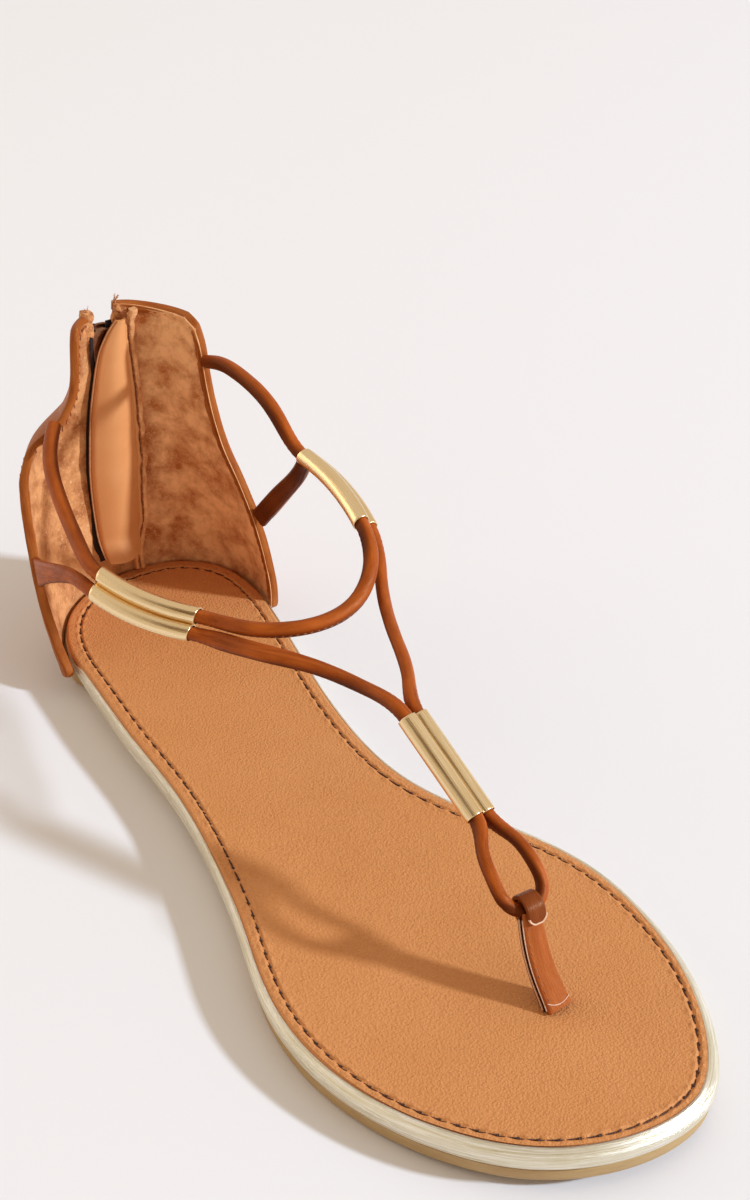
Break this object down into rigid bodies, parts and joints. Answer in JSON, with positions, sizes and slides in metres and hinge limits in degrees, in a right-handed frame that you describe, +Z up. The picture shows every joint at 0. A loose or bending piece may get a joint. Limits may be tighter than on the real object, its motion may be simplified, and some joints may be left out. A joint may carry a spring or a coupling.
{
  "type": "t-strap sandal",
  "caption": "Flat thong sandal for the right foot: heel cup with a back zip, an instep cord and a T-shaped strap through three gold tubes, and a toe post.",
  "frame": {"origin": "on the floor under the middle of the heel, 32 mm in front of the heel's back edge", "axes": "+X towards the toe along the sole, +Y towards the inner (medial) side of the foot, +Z up"},
  "size_m": [0.2555, 0.0925, 0.0945],
  "materials": {
    "outsole_rubber": "matt, gold-tan",
    "gold_rand": "metallic gold foil, satin",
    "footbed_leather": "fine grain, satin",
    "quarter_leather": "smooth outside, suede lining inside",
    "zip_fabric": "woven tape with a coil",
    "slider_metal": "aged",
    "guard_leather": "smooth, matt",
    "cord_leather": "smooth, satin",
    "gold_tube": "polished pale gold"
  },
  "bodies": {
    "sandal": {"outsole": "outsole_rubber", "midsole": "gold_rand", "footbed": "footbed_leather", "quarter": "quarter_leather", "zip_tape": "zip_fabric", "zip_slider": "slider_metal", "zip_guard": "guard_leather", "instep_cord": "cord_leather", "t_strap": "cord_leather", "lateral_tube": "gold_tube", "medial_tube": "gold_tube", "front_tube": "gold_tube", "toe_post": "cord_leather"},
    "zip_pull": {"zip_pull": "slider_metal"}
  },
  "joints": [
    {"name": "zip_pull_hinge", "type": "hinge", "parent": "sandal", "child": "zip_pull", "pos_m": [-0.03749, 0, 0.0833], "axis": [0, 1, 0], "range_deg": [0, 170]}
  ]
}
